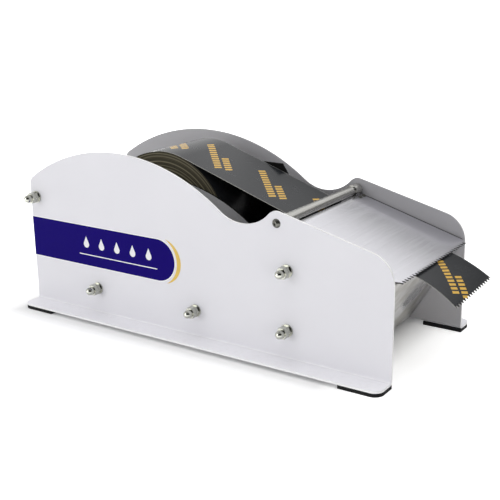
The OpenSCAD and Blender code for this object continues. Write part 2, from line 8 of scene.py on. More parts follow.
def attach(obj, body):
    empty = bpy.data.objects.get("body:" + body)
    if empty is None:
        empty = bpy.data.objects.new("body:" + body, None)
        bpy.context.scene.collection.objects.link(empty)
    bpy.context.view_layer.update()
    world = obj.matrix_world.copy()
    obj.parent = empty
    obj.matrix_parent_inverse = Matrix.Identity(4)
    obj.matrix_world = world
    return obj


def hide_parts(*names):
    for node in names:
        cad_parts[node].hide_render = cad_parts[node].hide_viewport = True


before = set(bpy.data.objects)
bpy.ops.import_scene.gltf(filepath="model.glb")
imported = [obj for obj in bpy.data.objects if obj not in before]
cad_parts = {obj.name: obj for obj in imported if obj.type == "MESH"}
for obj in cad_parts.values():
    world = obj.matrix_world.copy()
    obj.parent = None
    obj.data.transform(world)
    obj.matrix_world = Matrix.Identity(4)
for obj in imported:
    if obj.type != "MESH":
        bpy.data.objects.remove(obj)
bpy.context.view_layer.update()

# Side plates. Two mirrored plates of 2 mm sheet steel, cut to a domed outline and bent outwards at
# the foot into a flange. They are powder coated in a cool white, which shows a faint orange peel.
# Painted light brightens the flange, a painted highlight the cut edges, and painted shade greys the
# insides, most of all towards the front behind the cover.
UPRIGHT_END, BEND_START, FLANGE_START, COAT_BLUR = 0.0775, 0.0785, 0.082, 0.001
SHADED_X, SHADED_Z = (0.03, 0.11), (0.05, 0.085)
COAT_DULL, COAT_BRIGHT = (0.74, 0.735, 0.775, 1), (0.79, 0.785, 0.82, 1)
COAT_INSIDE_SHADE, COAT_SHADED = (0.475, 0.47, 0.49, 1), (0.43, 0.425, 0.445, 1)
FLANGE_PAINTED_LIGHT, EDGE_PAINTED_HIGHLIGHT = (0.845, 0.84, 0.875, 1), (0.95, 0.95, 0.955, 1)
PLATE_DUST = (0.5, 0.49, 0.47, 1)
FLOAT, VECTOR = "NodeSocketFloat", "NodeSocketVector"


def put(tree, kind, inputs=None, **settings):
    """Adds a node, sets its properties, and fills or links its inputs."""
    node = tree.nodes.new(kind)
    for key, value in settings.items():
        setattr(node, key, value)
    for key, value in (inputs or {}).items():
        if isinstance(value, bpy.types.NodeSocket):
            tree.links.new(value, node.inputs[key])
        else:
            node.inputs[key].default_value = value
    return node


def math_node(tree, operation, *values):
    """The result of one sum, on values or sockets."""
    return put(tree, "ShaderNodeMath", dict(enumerate(values)), operation=operation).outputs[0]


def vector_node(tree, operation, *vectors):
    """The outputs of one sum on vectors or vector sockets."""
    return put(tree, "ShaderNodeVectorMath", dict(enumerate(vectors)), operation=operation).outputs


def span(tree, value, low, high, start=0.0, end=1.0):
    """Stretches a value from low..high to start..end, and stops at both ends."""
    inputs = {"Value": value, "From Min": low, "From Max": high, "To Min": start, "To Max": end}
    return put(tree, "ShaderNodeMapRange", inputs).outputs["Result"]


def new_effect(name, inputs, outputs):
    """An empty shader node group with named sockets, and its input and output nodes."""
    effect = bpy.data.node_groups.new(name, "ShaderNodeTree")
    for label, kind in inputs.items():
        effect.interface.new_socket(label, in_out="INPUT", socket_type=kind)
    for label, kind in outputs.items():
        effect.interface.new_socket(label, in_out="OUTPUT", socket_type=kind)
    given = effect.nodes.new("NodeGroupInput").outputs
    return effect, given, effect.nodes.new("NodeGroupOutput").inputs


rounded_edge, given, result = new_effect(
    "rounded_edge", {"Radius": FLOAT}, {"Normal": VECTOR, "Edge": FLOAT})
tree = rounded_edge
bevel = put(tree, "ShaderNodeBevel", {"Radius": given["Radius"]}, samples=6).outputs[0]
flat = tree.nodes.new("ShaderNodeNewGeometry").outputs["Normal"]
agreement = vector_node(tree, "DOT_PRODUCT", bevel, flat)["Value"]
tree.links.new(bevel, result["Normal"])
tree.links.new(span(tree, agreement, 0.99, 0.8), result["Edge"])


def noise(tree, place, scale, **inputs):
    """Soft random values over a place. Most lie between 0.3 and 0.7."""
    return put(tree, "ShaderNodeTexNoise", {"Vector": place, "Scale": scale, **inputs}).outputs[0]


powder_texture, given, result = new_effect(
    "powder_texture", {"Place": VECTOR, "Grain": FLOAT}, {"Height": FLOAT, "Tone": FLOAT})
tree = powder_texture
tree.links.new(noise(tree, given["Place"], given["Grain"], Detail=3.0), result["Height"])
tree.links.new(noise(tree, given["Place"], 14.0, Detail=2.0), result["Tone"])


def xyz(tree, vector):
    """The three coordinates of a vector, by their letters."""
    return put(tree, "ShaderNodeSeparateXYZ", {0: vector}).outputs


settled_dust, given, result = new_effect("settled_dust", {"Place": VECTOR}, {"Dust": FLOAT})
tree = settled_dust
up = xyz(tree, tree.nodes.new("ShaderNodeNewGeometry").outputs["Normal"])["Z"]
specks = span(tree, noise(tree, given["Place"], 220.0, Detail=6.0), 0.5, 0.75)
tree.links.new(math_node(tree, "MULTIPLY", span(tree, up, 0.5, 1.0), specks), result["Dust"])


def facing(tree):
    """The direction that a surface faces in the part's frame, as three coordinates."""
    return xyz(tree, tree.nodes.new("ShaderNodeTexCoord").outputs["Normal"])


facing_out, given, result = new_effect("facing_out", {"Place": VECTOR}, {"Outwards": FLOAT})
tree = facing_out
half = math_node(tree, "SIGN", xyz(tree, given["Place"])["Y"])
tree.links.new(math_node(tree, "MULTIPLY", half, facing(tree)["Y"]), result["Outwards"])


def use_effect(tree, effect, inputs):
    """Places a shader node group in a material and gives its outputs."""
    return put(tree, "ShaderNodeGroup", inputs, node_tree=effect).outputs


def new_finish(name, **sockets):
    """A material with its Principled BSDF set, its node tree and its place in the part's frame."""
    material = bpy.data.materials.new(name)
    material.use_nodes = True
    tree = material.node_tree
    shader = tree.nodes["Principled BSDF"]
    for key, value in sockets.items():
        shader.inputs[key.replace("_", " ")].default_value = value
    place = tree.nodes.new("ShaderNodeTexCoord").outputs["Object"]
    return material, tree, shader.inputs, place


def blend_colours(tree, share, first, second):
    """A colour between two colours, by a mask."""
    node = put(tree, "ShaderNodeMix", {0: share, 6: first, 7: second}, data_type="RGBA")
    return node.outputs[2]


def vary(tree, value, start, end):
    """Stretches the usual range of a noise to start..end."""
    return span(tree, value, 0.3, 0.7, start, end)


def bump(tree, shader, height, strength, depth, normal=None):
    """Roughens a finish by a height, on top of a normal if one is given."""
    inputs = {"Strength": strength, "Distance": depth, "Height": height}
    if normal is not None:
        inputs["Normal"] = normal
    tree.links.new(put(tree, "ShaderNodeBump", inputs).outputs[0], shader["Normal"])


def dress(material, *names):
    """Gives CAD nodes a finish."""
    for name in names:
        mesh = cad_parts[name].data
        mesh.materials.clear()
        mesh.materials.append(material)


coat_white, tree, shader, place = new_finish("white_powder_coat", Specular_IOR_Level=0.4)
edge = use_effect(tree, rounded_edge, {"Radius": 0.0008})
powder = use_effect(tree, powder_texture, {"Place": place, "Grain": 750.0})
dust = use_effect(tree, settled_dust, {"Place": place})
outwards = use_effect(tree, facing_out, {"Place": place})["Outwards"]
tone = blend_colours(tree, powder["Tone"], COAT_DULL, COAT_BRIGHT)
at = xyz(tree, place)
# Painted shade: the insides are greyer than the outsides, and greyer still towards the front, behind the
# cover.
behind_cover = math_node(tree, "MULTIPLY", span(tree, at["X"], *SHADED_X), span(tree, at["Z"], *SHADED_Z))
painted_inside_shade = blend_colours(tree, behind_cover, COAT_INSIDE_SHADE, COAT_SHADED)
tone = blend_colours(tree, span(tree, outwards, -0.5, -0.9), tone, painted_inside_shade)
off_middle = math_node(tree, "ABSOLUTE", at["Y"])
# Painted light: the upward-facing flange is brighter.
on_flange = span(tree, off_middle, BEND_START, BEND_START + COAT_BLUR)
tone = blend_colours(tree, on_flange, tone, FLANGE_PAINTED_LIGHT)
faces = facing(tree)
# Painted highlight: the cut edges and the rounded edges are brighter.
upright_cut = math_node(tree, "MULTIPLY", span(tree, math_node(tree, "ABSOLUTE", faces["Y"]), 0.8, 0.5),
                        span(tree, off_middle, BEND_START, UPRIGHT_END))
flange_cut = math_node(tree, "MULTIPLY", span(tree, math_node(tree, "ABSOLUTE", faces["Z"]), 0.6, 0.4),
                       span(tree, off_middle, FLANGE_START, FLANGE_START + COAT_BLUR))
painted_edge_highlight = math_node(tree, "MAXIMUM", math_node(tree, "MULTIPLY", edge["Edge"], 0.5),
                  math_node(tree, "MAXIMUM", upright_cut, flange_cut))
highlighted_coat = blend_colours(tree, painted_edge_highlight, tone, EDGE_PAINTED_HIGHLIGHT)
dusty = math_node(tree, "MULTIPLY", dust["Dust"], 0.1)
tree.links.new(blend_colours(tree, dusty, highlighted_coat, PLATE_DUST), shader["Base Color"])
tree.links.new(vary(tree, powder["Height"], 0.36, 0.48), shader["Roughness"])
bump(tree, shader, powder["Height"], strength=0.12, depth=0.0002, normal=edge["Normal"])
dress(coat_white, "left_side_plate", "right_side_plate")

# Feet. Four pads of black rubber, punched to the outline of the flange and glued under its corners.
# The skin is matt, with a fine grain and a little grey dust.
RUBBER_BLACK, RUBBER_GREY = (0.008, 0.008, 0.009, 1), (0.02, 0.02, 0.021, 1)
RUBBER_WORN = (0.07, 0.07, 0.068, 1)

rubber, tree, shader, place = new_finish("foot_rubber", Specular_IOR_Level=0.15)
edge = use_effect(tree, rounded_edge, {"Radius": 0.0005})
grain = use_effect(tree, powder_texture, {"Place": place, "Grain": 1600.0})
dust = use_effect(tree, settled_dust, {"Place": place})
worn = math_node(tree, "ADD", math_node(tree, "MULTIPLY", edge["Edge"], 0.3), dust["Dust"])
black = blend_colours(tree, grain["Height"], RUBBER_BLACK, RUBBER_GREY)
greyed = math_node(tree, "MULTIPLY", worn, 0.3)
tree.links.new(blend_colours(tree, greyed, black, RUBBER_WORN), shader["Base Color"])
tree.links.new(vary(tree, grain["Height"], 0.7, 0.9), shader["Roughness"])
bump(tree, shader, grain["Height"], strength=0.4, depth=0.0002, normal=edge["Normal"])
dress(rubber, "front_left_foot", "rear_left_foot", "front_right_foot", "rear_right_foot")

# Rods and axles. Drawn steel bar, turned down and threaded at both ends, which pass through the plates.
# Spacer sleeves and clips of the same steel keep the rollers and the roll guides in place on the axles.
ROD_DARK, ROD_LIGHT = (0.42, 0.41, 0.4, 1), (0.6, 0.59, 0.57, 1)

drawn_lines, given, result = new_effect(
    "drawn_lines", {"Place": VECTOR, "Along": FLOAT, "Across": FLOAT}, {"Tone": FLOAT, "Height": FLOAT})
tree = drawn_lines
at = xyz(tree, given["Place"])
stretched = put(tree, "ShaderNodeCombineXYZ", {
    "X": math_node(tree, "MULTIPLY", at["X"], given["Across"]),
    "Y": math_node(tree, "MULTIPLY", at["Y"], given["Along"]),
    "Z": math_node(tree, "MULTIPLY", at["Z"], given["Across"])}).outputs[0]
lines = noise(tree, stretched, 1.0, Detail=5.0, Roughness=0.65)
tree.links.new(vary(tree, lines, 0.0, 1.0), result["Tone"])
tree.links.new(lines, result["Height"])

rod_steel, tree, shader, place = new_finish("rod_steel", Metallic=1.0)
edge = use_effect(tree, rounded_edge, {"Radius": 0.0003})
drawn = use_effect(tree, drawn_lines, {"Place": place, "Along": 12.0, "Across": 1500.0})
tree.links.new(blend_colours(tree, drawn["Tone"], ROD_DARK, ROD_LIGHT), shader["Base Color"])
tree.links.new(span(tree, drawn["Tone"], 0.0, 1.0, 0.28, 0.42), shader["Roughness"])
bump(tree, shader, drawn["Height"], strength=0.15, depth=0.0001, normal=edge["Normal"])
dress(rod_steel, "rear_tie_rod", "rear_roller_axle", "front_roller_axle", "upper_tank_rod",
      "lower_tank_rod", "wetting_axle", "spacer_sleeves", "axle_clips")

# Washers, jam nuts and acorn nuts. Pressed and turned brass or steel with bright nickel plating, which
# has a warm tint and fine scratches from handling. Painted shade darkens it along its edges.
NICKEL_DARK, NICKEL_LIGHT = (0.42, 0.425, 0.375, 1), (0.6, 0.605, 0.55, 1)
NUT_EDGE_SHADE = (0.05, 0.048, 0.04, 1)

nickel, tree, shader, place = new_finish("nickel_plating", Metallic=1.0)
edge = use_effect(tree, rounded_edge, {"Radius": 0.0006})
scratches = noise(tree, place, 900.0, Detail=8.0, Roughness=0.7)
tint = noise(tree, place, 160.0, Detail=2.0)
plating = blend_colours(tree, tint, NICKEL_DARK, NICKEL_LIGHT)
# Painted shade: darker along the edges.
painted_nut_shade = math_node(tree, "MULTIPLY", edge["Edge"], 0.9)
tree.links.new(blend_colours(tree, painted_nut_shade, plating, NUT_EDGE_SHADE), shader["Base Color"])
tree.links.new(span(tree, scratches, 0.35, 0.7, 0.03, 0.08), shader["Roughness"])
bump(tree, shader, scratches, strength=0.02, depth=0.0001, normal=edge["Normal"])
dress(nickel, "washers", "jam_nuts", "acorn_nuts")

# Guide bar and its screws. Ground steel bar across the plates, which holds the tape down and carries the
# cover. A button head screw with a hexagon socket goes through each plate into its tapped end.
BAR_DARK, BAR_LIGHT = (0.48, 0.475, 0.45, 1), (0.62, 0.615, 0.59, 1)
SCREW_DARK, SCREW_LIGHT = (0.13, 0.13, 0.115, 1), (0.19, 0.19, 0.17, 1)
SCREW_RUBBED = (0.42, 0.42, 0.39, 1)

bar_steel, tree, shader, place = new_finish("ground_bar_steel", Metallic=1.0)
edge = use_effect(tree, rounded_edge, {"Radius": 0.0004})
ground = use_effect(tree, drawn_lines, {"Place": place, "Along": 10.0, "Across": 1100.0})
tree.links.new(blend_colours(tree, ground["Tone"], BAR_DARK, BAR_LIGHT), shader["Base Color"])
tree.links.new(span(tree, ground["Tone"], 0.0, 1.0, 0.2, 0.3), shader["Roughness"])
bump(tree, shader, ground["Height"], strength=0.12, depth=0.0001, normal=edge["Normal"])
dress(bar_steel, "guide_bar")

screw_steel, tree, shader, place = new_finish("screw_steel", Metallic=1.0)
edge = use_effect(tree, rounded_edge, {"Radius": 0.0003})
grain = use_effect(tree, powder_texture, {"Place": place, "Grain": 1800.0})
dark = blend_colours(tree, grain["Tone"], SCREW_DARK, SCREW_LIGHT)
rubbed = math_node(tree, "MULTIPLY", edge["Edge"], 0.5)
tree.links.new(blend_colours(tree, rubbed, dark, SCREW_RUBBED), shader["Base Color"])
tree.links.new(vary(tree, grain["Height"], 0.22, 0.36), shader["Roughness"])
tree.links.new(edge["Normal"], shader["Normal"])
dress(screw_steel, "bar_screws")

# Roll guides. Two plates of sheet steel that keep the roll in line, hung on the roller axles between a
# clip and a sleeve. They are powder coated in a greyer white than the side plates, and are near black and
# matt on their insides and over their edges.
GUIDE_DULL, GUIDE_BRIGHT = (0.47, 0.47, 0.48, 1), (0.53, 0.53, 0.54, 1)
GUIDE_WORN = (0.8, 0.8, 0.8, 1)
INSIDE_BLACK_DARK, INSIDE_BLACK_LIGHT = (0.002, 0.002, 0.002, 1), (0.009, 0.009, 0.009, 1)

coat_grey, tree, shader, place = new_finish("grey_powder_coat", Specular_IOR_Level=0.2)
edge = use_effect(tree, rounded_edge, {"Radius": 0.0005})
powder = use_effect(tree, powder_texture, {"Place": place, "Grain": 800.0})
dust = use_effect(tree, settled_dust, {"Place": place})
outwards = use_effect(tree, facing_out, {"Place": place})["Outwards"]
tone = blend_colours(tree, powder["Tone"], GUIDE_DULL, GUIDE_BRIGHT)
worn = math_node(tree, "ADD", math_node(tree, "MULTIPLY", edge["Edge"], 0.5), dust["Dust"])
coat = blend_colours(tree, math_node(tree, "MULTIPLY", worn, 0.4), tone, GUIDE_WORN)
# The insides and the edges are near black and fully rough.
dark_inside = span(tree, outwards, 0.9, 0.5)
near_black = blend_colours(tree, powder["Height"], INSIDE_BLACK_DARK, INSIDE_BLACK_LIGHT)
tree.links.new(blend_colours(tree, dark_inside, coat, near_black), shader["Base Color"])
tree.links.new(math_node(tree, "MAXIMUM", dark_inside, vary(tree, powder["Height"], 0.38, 0.52)),
               shader["Roughness"])
bump(tree, shader, powder["Height"], strength=0.12, depth=0.0002, normal=edge["Normal"])
dress(coat_grey, "left_roll_guide", "right_roll_guide")

# Support rollers and bushes. The roll lies on two tubes of dark grey plastic, turned on a lathe, with a
# flanged bush of white plastic pushed into each end.
ROLLER_DARK, ROLLER_LIGHT = (0.016, 0.016, 0.018, 1), (0.045, 0.045, 0.047, 1)
BUSH_DULL, BUSH_BRIGHT = (0.7, 0.69, 0.65, 1), (0.78, 0.77, 0.74, 1)

roller_plastic, tree, shader, place = new_finish("roller_plastic")
edge = use_effect(tree, rounded_edge, {"Radius": 0.0006})
along_roller = xyz(tree, place)["Y"]
lathe_lines = put(tree, "ShaderNodeTexNoise", {"W": along_roller, "Scale": 1800.0, "Detail": 3.0},
                  noise_dimensions="1D").outputs[0]
rub = put(tree, "ShaderNodeTexNoise", {"W": along_roller, "Scale": 90.0}, noise_dimensions="1D").outputs[0]
tree.links.new(blend_colours(tree, rub, ROLLER_DARK, ROLLER_LIGHT), shader["Base Color"])
tree.links.new(vary(tree, rub, 0.55, 0.4), shader["Roughness"])
bump(tree, shader, lathe_lines, strength=0.2, depth=0.0002, normal=edge["Normal"])
dress(roller_plastic, "rear_support_roller", "front_support_roller")

bush_plastic, tree, shader, place = new_finish("bush_plastic", Subsurface_Weight=0.05)
edge = use_effect(tree, rounded_edge, {"Radius": 0.0003})
grain = use_effect(tree, powder_texture, {"Place": place, "Grain": 1200.0})
tree.links.new(blend_colours(tree, grain["Tone"], BUSH_DULL, BUSH_BRIGHT), shader["Base Color"])
tree.links.new(vary(tree, grain["Height"], 0.38, 0.52), shader["Roughness"])
tree.links.new(edge["Normal"], shader["Normal"])
dress(bush_plastic, "rear_roller_bushes", "front_roller_bushes")

# Tape core. A tube of brown board, wound in a spiral from strips that are glued one over another. The
# fibres of the board show, and the seams of the outer strip run round it as dark lines.
ROLL_X, ROLL_Z, ROLL_R = -0.0792015, 0.097554, 0.075
FLECK_LOW, FLECK_HIGH = 0.2, 0.8
PLIES_PER_METRE, SEAM_FROM = 22.0, 0.485
BOARD_DARK, BOARD_LIGHT = (0.3, 0.2, 0.11, 1), (0.48, 0.35, 0.21, 1)
BOARD_SEAM = (0.16, 0.1, 0.055, 1)

paper_fibres, given, result = new_effect(
    "paper_fibres", {"Place": VECTOR}, {"Fleck": FLOAT, "Height": FLOAT})
tree = paper_fibres
fibres = noise(tree, given["Place"], 1400.0, Detail=6.0, Roughness=0.7, Distortion=1.5)
patches = math_node(tree, "MULTIPLY", noise(tree, given["Place"], 60.0, Detail=3.0), 2.0)
tree.links.new(fibres, result["Height"])
tree.links.new(math_node(tree, "MULTIPLY", fibres, patches), result["Fleck"])

round_roll, given, result = new_effect(
    "round_roll", {"Place": VECTOR}, {"Turn": FLOAT, "Radius": FLOAT, "Across": FLOAT})
tree = round_roll
from_axis = xyz(tree, vector_node(tree, "SUBTRACT", given["Place"], (ROLL_X, 0.0, ROLL_Z))[0])
squares = math_node(tree, "ADD", math_node(tree, "POWER", from_axis["X"], 2.0),
                    math_node(tree, "POWER", from_axis["Z"], 2.0))
tree.links.new(math_node(tree, "ARCTAN2", from_axis["X"], from_axis["Z"]), result["Turn"])
tree.links.new(math_node(tree, "SQRT", squares), result["Radius"])
tree.links.new(from_axis["Y"], result["Across"])

core_board, tree, shader, place = new_finish("core_board", Specular_IOR_Level=0.2)
paper = use_effect(tree, paper_fibres, {"Place": place})
turned = use_effect(tree, round_roll, {"Place": place})
whole_turns = math_node(tree, "DIVIDE", turned["Turn"], 2 * math.pi)
spiral = math_node(tree, "ADD", math_node(tree, "MULTIPLY", turned["Across"], PLIES_PER_METRE), whole_turns)
off_ply = math_node(tree, "ABSOLUTE", math_node(tree, "SUBTRACT", math_node(tree, "FRACT", spiral), 0.5))
board = blend_colours(tree, paper["Fleck"], BOARD_DARK, BOARD_LIGHT)
seam = span(tree, off_ply, SEAM_FROM, 0.5)
tree.links.new(blend_colours(tree, seam, board, BOARD_SEAM), shader["Base Color"])
tree.links.new(span(tree, paper["Fleck"], FLECK_LOW, FLECK_HIGH, 0.9, 0.75), shader["Roughness"])
bump(tree, shader, paper["Height"], strength=0.3, depth=0.0002)
dress(core_board, "tape_core")

# Tape roll. Gummed kraft paper wound tight on the core, printed slate grey with marks of a long and a
# short row of strokes. The print starts partway round the roll, and its first marks are out of step with
# the rest. The sides show the brown edges of the layers, some a little proud of the others.
TAPE_HALF = 0.04
WEB_TURN, WRAP_SWEEP = math.radians(-18.5519), math.radians(26)
LEAVES_ROLL, STRIP_START = -WEB_TURN, WRAP_SWEEP + WEB_TURN
MARK_PITCH, MARK_START, MARK_TURN = 0.0655, 0.0508, math.radians(135)
ROLL_MARKS_END, ROLL_MARKS_LEAD = 0.02, 0.0104
ROW_MIDDLE, ROW_HALF = 0.0053, 0.0038
LONG_ROW, SHORT_ROW = (-0.0255, 0.0345), (-0.0305, -0.0005)
STROKE_PITCH, STROKE_SHARE, STROKE_SLANT = 0.005, 0.62, 0.35
PRINT_STARTS = -0.235
TAPE_SLATE, TAPE_SLATE_LIGHT = (0.011, 0.012, 0.014, 1), (0.02, 0.022, 0.025, 1)
TAPE_INK = (0.66, 0.4, 0.065, 1)
LAYER_DARK, LAYER_LIGHT = (0.02, 0.018, 0.012, 1), (0.13, 0.115, 0.07, 1)
LAYER_PROUD = (0.3, 0.27, 0.18, 1)

printed_marks, given, result = new_effect(
    "printed_marks", {"Along": FLOAT, "Across": FLOAT}, {"Ink": FLOAT})
tree = printed_marks
on_roll = math_node(tree, "LESS_THAN", given["Along"], ROLL_MARKS_END)
lead = math_node(tree, "MULTIPLY", on_roll, ROLL_MARKS_LEAD)
along = math_node(tree, "SUBTRACT", given["Along"], lead)
tiles = math_node(tree, "DIVIDE", math_node(tree, "SUBTRACT", along, MARK_START), MARK_PITCH)
in_tile = math_node(tree, "FRACT", math_node(tree, "ADD", tiles, 0.5))
from_mark = math_node(tree, "MULTIPLY", math_node(tree, "SUBTRACT", in_tile, 0.5), MARK_PITCH)
along_row = math_node(tree, "ADD", math_node(tree, "MULTIPLY", from_mark, math.cos(MARK_TURN)),
                      math_node(tree, "MULTIPLY", given["Across"], math.sin(MARK_TURN)))
from_rows = math_node(tree, "SUBTRACT", math_node(tree, "MULTIPLY", given["Across"], math.cos(MARK_TURN)),
                      math_node(tree, "MULTIPLY", from_mark, math.sin(MARK_TURN)))
off_row = math_node(tree, "ABSOLUTE", math_node(
    tree, "SUBTRACT", math_node(tree, "ABSOLUTE", from_rows), ROW_MIDDLE))
slanted = math_node(tree, "ADD", along_row, math_node(tree, "MULTIPLY", from_rows, STROKE_SLANT))
in_stroke = math_node(tree, "FRACT", math_node(tree, "DIVIDE", slanted, STROKE_PITCH))
long_row = math_node(tree, "GREATER_THAN", from_rows, 0.0)
row_start = span(tree, long_row, 0.0, 1.0, SHORT_ROW[0], LONG_ROW[0])
row_end = span(tree, long_row, 0.0, 1.0, SHORT_ROW[1], LONG_ROW[1])
in_length = math_node(tree, "MULTIPLY", math_node(tree, "GREATER_THAN", slanted, row_start),
                      math_node(tree, "LESS_THAN", slanted, row_end))
in_row = math_node(tree, "MULTIPLY", math_node(tree, "LESS_THAN", off_row, ROW_HALF), in_length)
tree.links.new(math_node(tree, "MULTIPLY", math_node(tree, "LESS_THAN", in_stroke, STROKE_SHARE), in_row),
               result["Ink"])

winding, tree, shader, place = new_finish("tape_winding", Specular_IOR_Level=0.34)
paper = use_effect(tree, paper_fibres, {"Place": place})
turned = use_effect(tree, round_roll, {"Place": place})
outer_turn = math_node(tree, "WRAP", turned["Turn"], LEAVES_ROLL, LEAVES_ROLL - 2 * math.pi)
outer_along = math_node(tree, "MULTIPLY", math_node(tree, "ADD", outer_turn, STRIP_START), ROLL_R)
marks = use_effect(tree, printed_marks, {"Along": outer_along, "Across": turned["Across"]})
face = blend_colours(tree, paper["Fleck"], TAPE_SLATE, TAPE_SLATE_LIGHT)
ink = math_node(tree, "MULTIPLY", marks["Ink"], math_node(tree, "GREATER_THAN", outer_along, PRINT_STARTS))
face = blend_colours(tree, ink, face, TAPE_INK)
layers = put(tree, "ShaderNodeTexNoise",
             {"W": turned["Radius"], "Scale": 1300.0, "Detail": 4.0, "Roughness": 0.75},
             noise_dimensions="1D").outputs[0]
slips = put(tree, "ShaderNodeTexNoise", {"W": turned["Radius"], "Scale": 420.0, "Detail": 2.0},
            noise_dimensions="1D").outputs[0]
edges = blend_colours(tree, span(tree, layers, 0.35, 0.7), LAYER_DARK, LAYER_LIGHT)
edges = blend_colours(tree, span(tree, slips, 0.52, 0.66, 0.0, 0.75), edges, LAYER_PROUD)
sides = span(tree, math_node(tree, "ABSOLUTE", facing(tree)["Y"]), 0.4, 0.6)
tree.links.new(blend_colours(tree, sides, face, edges), shader["Base Color"])
tree.links.new(span(tree, sides, 0.0, 1.0, 0.16, 0.8), shader["Roughness"])
ridges = math_node(tree, "MULTIPLY", sides, math_node(tree, "ADD", layers, slips))
fuzz = math_node(tree, "MULTIPLY", paper["Height"], 0.008)
bump(tree, shader, math_node(tree, "ADD", ridges, fuzz), strength=0.5, depth=0.0004)
dress(winding, "tape_roll")

# Tape strip. The same paper on its way from the roll, under the guide bar, over the tank's lip and out to
# the end that the cover's teeth have cut. The free end hangs in a curl, a little lower on one side.
STRIP_T = 0.0003
WRAP_R = 0.07545
BAR_X, BAR_Z, UNDER_R = 0.0757985, 0.130659, 0.00525
CURL_X, CURL_Z, CURL_R = 0.1526715, -0.0322227, 0.130
RUN_TURN, CURL_SWEEP = math.radians(-16.064), math.radians(21.3)
WRAP_STEPS, CURL_STEPS = 13, 20
TOOTH_COUNT, TOOTH_PITCH, TOOTH_DEPTH, TOOTH_FLAT = 16, 0.005, 0.003, 0.0003
CURL_TILT = 0.0019
EDGE_HIGHLIGHT_WIDTH, TAPE_EDGE_HIGHLIGHT = 0.0008, (0.3, 0.3, 0.29, 1)
GUM_DARK, GUM_LIGHT = (0.2, 0.15, 0.085, 1), (0.27, 0.21, 0.12, 1)
FIBRE_DARK, FIBRE_LIGHT = (0.3, 0.29, 0.26, 1), (0.5, 0.49, 0.45, 1)
FACE_FINISH, GUM_FINISH, EDGE_FINISH = 0, 1, 2

stations = []
for i in range(WRAP_STEPS + 1):
    turn = WEB_TURN + WRAP_SWEEP * (1 - i / WRAP_STEPS)
    stations.append((ROLL_X - WRAP_R * math.sin(turn), ROLL_Z + WRAP_R * math.cos(turn), turn))
for turn in (WEB_TURN, (WEB_TURN + RUN_TURN) / 2, RUN_TURN):
    stations.append((BAR_X + UNDER_R * math.sin(turn), BAR_Z - UNDER_R * math.cos(turn), turn))
for i in range(CURL_STEPS + 1):
    turn = RUN_TURN - CURL_SWEEP * i / CURL_STEPS
    stations.append((CURL_X - CURL_R * math.sin(turn), CURL_Z + CURL_R * math.cos(turn), turn))
lengths = [0.0]
for before, after in zip(stations, stations[1:]):
    lengths.append(lengths[-1] + math.hypot(after[0] - before[0], after[1] - before[1]))
strip_len = lengths[-1]
curl_start = lengths[-1 - CURL_STEPS]

columns = [(-TAPE_HALF, 0.0)]
for i in range(TOOTH_COUNT):
    tooth = -TAPE_HALF + i * TOOTH_PITCH
    valley = tooth + TOOTH_PITCH / 2
    columns += [(tooth + TOOTH_FLAT, 0.0), (valley - TOOTH_FLAT, 1.0), (valley + TOOTH_FLAT, 1.0),
                (tooth + TOOTH_PITCH - TOOTH_FLAT, 0.0)]
columns.append((TAPE_HALF, 0.0))

mesh = bpy.data.meshes.new("tape_web")
shape = bmesh.new()
along_across = shape.loops.layers.uv.new("along_across")
rows = []
for (x, z, turn), length in zip(stations, lengths):
    at_end = length == strip_len
    share = max(0.0, (length - curl_start) / (strip_len - curl_start))
    row = []
    for y, notch in columns:
        back = TOOTH_DEPTH * notch if at_end else 0.0
        raised = CURL_TILT * share ** 2 * y / TAPE_HALF
        middle = Vector((x - back * math.cos(turn), y, z - back * math.sin(turn) + raised))
        lift = Vector((-math.sin(turn), 0.0, math.cos(turn))) * STRIP_T / 2
        row.append([(shape.verts.new(middle + lift), length - back, y),
                    (shape.verts.new(middle - lift), length - back, y)])
    rows.append(row)


def strip_face(corners, finish):
    """One face of the strip, with its corners' length and width as the map."""
    face = shape.faces.new([corner[0] for corner in corners])
    face.material_index = finish
    face.smooth = finish != EDGE_FINISH
    for loop, corner in zip(face.loops, corners):
        loop[along_across].uv = (corner[1], corner[2])


for near, far in zip(rows, rows[1:]):
    for i in range(len(columns) - 1):
        strip_face([near[i][0], far[i][0], far[i + 1][0], near[i + 1][0]], FACE_FINISH)
        strip_face([near[i][1], near[i + 1][1], far[i + 1][1], far[i][1]], GUM_FINISH)
    strip_face([near[0][0], near[0][1], far[0][1], far[0][0]], EDGE_FINISH)
    strip_face([near[-1][0], far[-1][0], far[-1][1], near[-1][1]], EDGE_FINISH)
first_row, last_row = rows[0], rows[-1]
for i in range(len(columns) - 1):
    strip_face([first_row[i][0], first_row[i + 1][0], first_row[i + 1][1], first_row[i][1]], EDGE_FINISH)
    strip_face([last_row[i][0], last_row[i][1], last_row[i + 1][1], last_row[i + 1][0]], EDGE_FINISH)
shape.to_mesh(mesh)
shape.free()


def new_object(name, data):
    """An object in the scene for a mesh, a light or a camera."""
    thing = bpy.data.objects.new(name, data)
    bpy.context.scene.collection.objects.link(thing)
    return thing


tape_web = new_object("tape_web", mesh)

tape_face, tree, shader, place = new_finish("tape_face", Specular_IOR_Level=0.3)
paper = use_effect(tree, paper_fibres, {"Place": place})
mapped = xyz(tree, put(tree, "ShaderNodeUVMap", uv_map="along_across").outputs[0])
marks = use_effect(tree, printed_marks, {"Along": mapped["X"], "Across": mapped["Y"]})
face = blend_colours(tree, paper["Fleck"], TAPE_SLATE, TAPE_SLATE_LIGHT)
